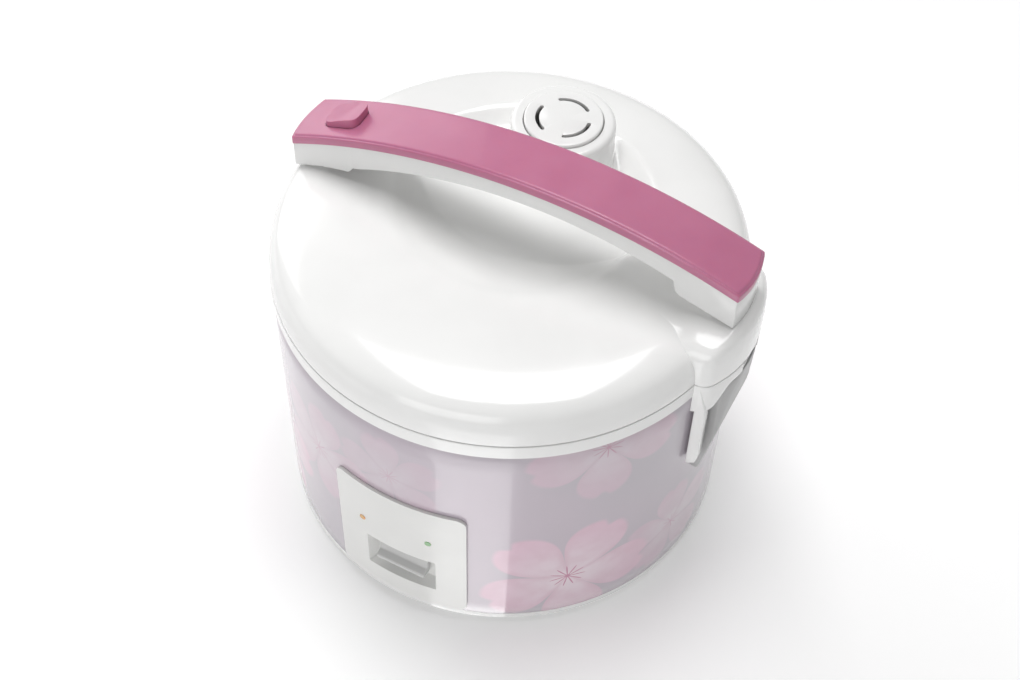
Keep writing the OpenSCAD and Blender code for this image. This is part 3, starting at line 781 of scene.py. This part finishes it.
def build_skin():
    """Thin printed wall with openings behind the panel and at the inlet."""
    segments = 360
    rows = [9.8, 10.3, 21, 26, 34, 47, 55, 63, 75, 95, 115, 135, 155, 169.4, 169.8]
    # Openings: middle and half width in degrees from the front, low and high edge
    windows = [(1, 11.6, 26, 63), (180, 8, 21, 47)]
    verts, faces = [], []
    for r in (BODY_R, BODY_R - 1):
        for z in rows:
            bevel = 0.3 if z in (rows[0], rows[-1]) and r == BODY_R else 0
            step = BODY_R * 2 * math.pi / segments
            verts += [cylinder_point(r - bevel, step * i, z) for i in range(segments)]
    layer = len(rows) * segments

    def closed(i, k):
        if not (0 <= k < len(rows) - 1):
            return False
        mid, deg = (rows[k] + rows[k + 1]) / 2, (i + 0.5) % segments
        for centre, half, low, high in windows:
            away = abs(deg - centre)
            if min(away, 360 - away) < half and low < mid < high:
                return False
        return True

    for k in range(len(rows) - 1):
        for i in range(segments):
            if not closed(i, k):
                continue
            j = (i + 1) % segments
            a, b, c, d = k * segments + i, k * segments + j, (k + 1) * segments + j, (k + 1) * segments + i
            faces.append([a, b, c, d])
            faces.append([layer + d, layer + c, layer + b, layer + a])
            left = (i - 1) % segments
            for other, p, q in (((i, k - 1), a, b), ((i, k + 1), d, c), ((left, k), a, d), ((j, k), b, c)):
                if not closed(*other):
                    faces.append([p, q, layer + q, layer + p])
    return add_mesh("printed_wall", verts, faces)


place(build_skin(), "printed_wall", SKIN, "body", ["outer_shell"], 50)



def build_base_rim():
    """White band that shows below the printed wall."""
    return lathe("base_rim", rounded([
        (126, 3.95, 0), (132.75, 3.95, 2.6), (132.75, 9.6, 0.4), (131.7, 9.7, 0), (131.7, 21, 0),
        (129.3, 21, 0), (129.3, 9, 0), (126, 7, 0)], 8))


place(build_base_rim(), "base_rim", WHITE, "body", (), 40)


def build_collar():
    """Ring that the lid closes on, with the slot for the latch hook."""
    ring = lathe("collar_band", rounded([
        (129.2, 169.0, 0), (133.3, 170.0, 0.5), (133.5, 170.3, 0.3), (133.5, DECK, 1.0), (118.6, DECK, 0.5),
        (118.6, 175.6, 0), (114.6, 175.6, 0), (114.6, 172.8, 0), (122.5, 172.8, 0), (122.5, 176.8, 0),
        (129.2, 176.8, 0)], 5))
    for x0, x1, z1 in ((-130.2, -122.9, 182), (-123.1, -120.6, 176.8)):
        boolean(ring, prism("latch_slot", [(x0, -7), (x1, -7), (x1, 7), (x0, 7)], 172.5, z1), "DIFFERENCE")
    return ring


def build_bridge():
    """Block under the lid's hinge block, curving down to the ribs, with the slot for the lid's arms."""
    low_edge = [0, 0.15, 0.5, 1.0, 1.7, 2.4]
    high_edge = [1.0, 0.6, 0.3, 0.1, 0]
    low_r, high_r = low_edge[-1], high_edge[0]
    reach, top = HUMP_HALF - 0.1, DECK - 0.1

    def shape(u, v, w):
        y = lerp(-reach, reach, v)
        bottom = 170.2 - 13 * smoothstep((abs(y) - 17) / 15) ** 1.6
        step = int(round(w * 10))
        z = bottom + low_edge[step] if step < 6 else top - high_edge[step - 6]
        below, above = max(0.0, low_r - (z - bottom)), max(0.0, high_r - (top - z))
        inset = low_r - math.sqrt(low_r**2 - below**2) + high_r - math.sqrt(high_r**2 - above**2)
        return (lerp(128, hump_x(y) - inset, u), y, z)

    block = bent_box("bridge", [0, 1], spaced(72), spaced(10), shape)
    slot = prism("arm_slot", [(136.6, -10.3), (150, -10.3), (150, 10.3), (136.6, 10.3)], 165, 190)
    return boolean(block, slot, "DIFFERENCE")


def build_rib(side):
    """Upright rib below one end of the bridge; side is -1 or 1."""
    outline = [(130, 178), (131.5, 178), (135.8, 161), (136.5, 152), (136.5, 118), (135.4, 112.6),
               (132, 110.4), (130, 110.4)]
    low, high = sorted((side * 30.2, side * 36.6))
    return round_edges(prism("rib", outline, low, high, "y"), 0.9, 3, 30)


def build_slot_painted_shade():
    """Dark grey strips in the gaps between the ribs and the sloping cover, as painted shade for the deep
    gaps.
    """
    def strip(side):
        def shape(u, v, w):
            y = lerp(24, 31, v)
            return (math.sqrt(lerp(133.1, 133.5, u) ** 2 - y * y), side * y, lerp(112, 169, w))

        return bent_box("slot", [0, 1], spaced(4), [0, 1], shape)

    return join("slot_painted_shade", [strip(-1), strip(1)])


def build_wedge():
    """Cover between the ribs, sloping out towards the hinge; its grey colour is painted shade on white
    plastic.
    """
    slope = [(92, 134.4), (126, 140.8), (158, 143.4), (166, 145.6), (171, 145.8)]

    def shape(u, v, w):
        y, z = lerp(-25, 25, v), lerp(92, 170.3, w)
        return (lerp(129, min(hump_x(y) - 0.6, along(slope, z)), u), y, z)

    return round_edges(bent_box("wedge", [0, 1], spaced(20), spaced(12), shape), 1.2, 3, 45)


def build_housing():
    return join("collar_and_hinge_housing", [build_collar(), build_bridge(), build_rib(-1), build_rib(1)])


# Painted shade: dark grey strips stand in for the shade in the slots beside the ribs.
place(build_slot_painted_shade(), "hinge_slot_painted_shade", PAINTED_SLOT_SHADE, "body")
# Painted shade: the wedge's grey stands in for shade on white plastic.
place(build_wedge(), "hinge_wedge", WEDGE_PAINTED_SHADE, "body")
place(build_housing(), "collar_and_hinge_housing", WHITE, "body", ["top_collar"], 35)


def build_panel():
    """Curved front plate with rounded corners and a funnel-shaped recess for the lever."""
    corner = PANEL_CORNER
    fine = [0, 0.12, 0.5, 1.1, 2.0, 3.2, 4.6, corner]
    middle = PANEL_Z1 - PANEL_Z0 - 2 * corner
    heights = [PANEL_Z0 + f for f in fine] + [PANEL_Z0 + corner + middle * i / 12 for i in range(1, 12)]
    heights += [PANEL_Z1 - f for f in reversed(fine)]

    def plate(u, v, w):
        z = heights[int(round(w * (len(heights) - 1)))]
        edge = min(z - PANEL_Z0, PANEL_Z1 - z, corner)
        reach = PANEL_HALF - corner + math.sqrt(max(0, corner**2 - (corner - edge) ** 2))
        return cylinder_point(lerp(133.15, PANEL_R, v), lerp(-reach, reach, u) + PANEL_SHIFT, z)

    def funnel(mouth_x, floor_x, mouth_z, floor_z, floor_y, mouth_r):
        """Tapered block through the plate; its mouth follows a cylinder of radius mouth_r."""
        def shape(u, v, w):
            half_x, half_z = lerp(mouth_x, floor_x, v), lerp(mouth_z, floor_z, v)
            x = RECESS_X + lerp(-half_x, half_x, u)
            return (x, lerp(-math.sqrt(mouth_r**2 - x * x), floor_y, v), RECESS_Z + lerp(-half_z, half_z, w))

        return bent_box("funnel", spaced(16), [0, 1], [0, 1], shape)

    panel = bent_box("plate", spaced(72), [0, 1], spaced(len(heights) - 1), plate)
    boolean(panel, funnel(24.0, 20.5, 15.8, 14.2, -124.6, 134.2), "UNION")
    boolean(panel, funnel(23.4, 18.6, 15.2, 12.4, -126.2, 138.0), "DIFFERENCE")
    boolean(panel, prism("gate", [(-9, -130), (9, -130), (9, -120), (-9, -120)], 33, 56), "DIFFERENCE")
    for x, z in LAMPS:
        angles = [math.pi * i / 16 for i in range(32)]
        ring = [(x + LAMP_R * math.cos(a), z + LAMP_R * math.sin(a)) for a in angles]
        boolean(panel, prism("eye", ring, -140, -120, "y"), "DIFFERENCE")
    return round_edges(panel, 0.75, 4, 50)


place(build_panel(), "front_panel", PANEL_WHITE, "body", ["control_panel"], 30)


def build_paddle():
    """Finger plate of the cook lever, drawn as (y, z) and run along x."""
    outline = [(-127.4, 55.2), (-129.6, 55.2), (-131.3, 46.0), (-135.35, 43.9), (-135.35, 41.5), (-129, 40.2),
               (-127.4, 41.2)]
    return round_edges(prism("paddle", outline, RECESS_X - 15.6, RECESS_X + 15.6, "x"), 0.7, 3, 25)


place(build_paddle(), "lever_paddle", LEVER_GREY, "lever", (), 30)


# ---------------------------------------------------------------- floor, lights and camera


def build_floor():
    """Pale matte floor with a faint glow that lifts the shadows."""
    half = 4000
    g = Graph("studio_floor")
    tone = g.steps(g.noise(1.2, 2.0), 0.3, 0.7)
    g.set(Base_Color=g.mix(tone, (0.93, 0.93, 0.93, 1), (0.915, 0.915, 0.915, 1)))
    g.bsdf.inputs["Roughness"].default_value = 0.9
    g.bsdf.inputs["Specular IOR Level"].default_value = 0.0
    g.bsdf.inputs["Emission Color"].default_value = (1, 1, 1, 1)
    g.bsdf.inputs["Emission Strength"].default_value = 0.16
    corners = [(-half, -half, 0), (half, -half, 0), (half, half, 0), (-half, half, 0)]
    floor = add_mesh("studio_floor", corners, [[0, 1, 2, 3]])
    floor.data.materials.append(g.mat)


def area_light(name, where, size, power):
    """White softbox aimed at the middle of the body; metres and watts."""
    data = bpy.data.lights.new(name, "AREA")
    data.shape = "RECTANGLE"
    data.size, data.size_y = size
    data.energy = power
    light = bpy.data.objects.new(name, data)
    light.location = where
    light.rotation_euler = (Vector((0, 0, 0.1)) - Vector(where)).to_track_quat("-Z", "Y").to_euler()
    scene.collection.objects.link(light)


def reflector(name, outline, radiance):
    """Bright card lying in front of the object, seen only in its reflections."""
    mat = bpy.data.materials.new(name)
    mat.use_nodes = True
    mat.node_tree.nodes.clear()
    out = mat.node_tree.nodes.new("ShaderNodeOutputMaterial")
    glow = mat.node_tree.nodes.new("ShaderNodeEmission")
    glow.inputs["Strength"].default_value = radiance
    mat.node_tree.links.new(glow.outputs[0], out.inputs[0])
    obj = add_mesh(name, outline, [list(range(len(outline)))])
    obj.data.materials.append(mat)
    for ray in ("camera", "diffuse", "shadow", "transmission", "volume_scatter"):
        setattr(obj, "visible_" + ray, False)


def build_world(strength):
    """Even white surroundings."""
    world = bpy.data.worlds.new("studio")
    world.use_nodes = True
    background = world.node_tree.nodes["Background"]
    background.inputs[0].default_value = (1, 1, 1, 1)
    background.inputs[1].default_value = strength
    scene.world = world


def add_camera(where, lens, heading, tilt, roll):
    """Camera at a place in metres, turned by three angles in degrees about Z, X and its own axis."""
    data = bpy.data.cameras.new("camera")
    data.sensor_width = 36
    data.lens = lens
    camera = bpy.data.objects.new("camera", data)
    scene.collection.objects.link(camera)
    turn = Matrix.Rotation(math.radians(heading), 4, "Z") @ Matrix.Rotation(math.radians(tilt), 4, "X")
    camera.matrix_world = Matrix.Translation(where) @ turn @ Matrix.Rotation(math.radians(roll), 4, "Z")
    scene.camera = camera


build_floor()
build_world(0.2)
scene.view_settings.view_transform = "Standard"
area_light("overhead", (-0.15, 0.3, 2.3), (1.3, 1.3), 33)
area_light("left_back", (-1.75, 0.9, 1.1), (1.6, 1.6), 18)
area_light("front", (0.15, -2.0, 0.75), (1.5, 1.1), 13)
reflector("low_card", [(62, -118, 1), (230, -390, 1), (-20, -520, 1), (20, -128, 1)], 2.3)
add_camera((0.2691, -0.5385, 0.849), 56.97, 26.42, 38.83, 1.6616)
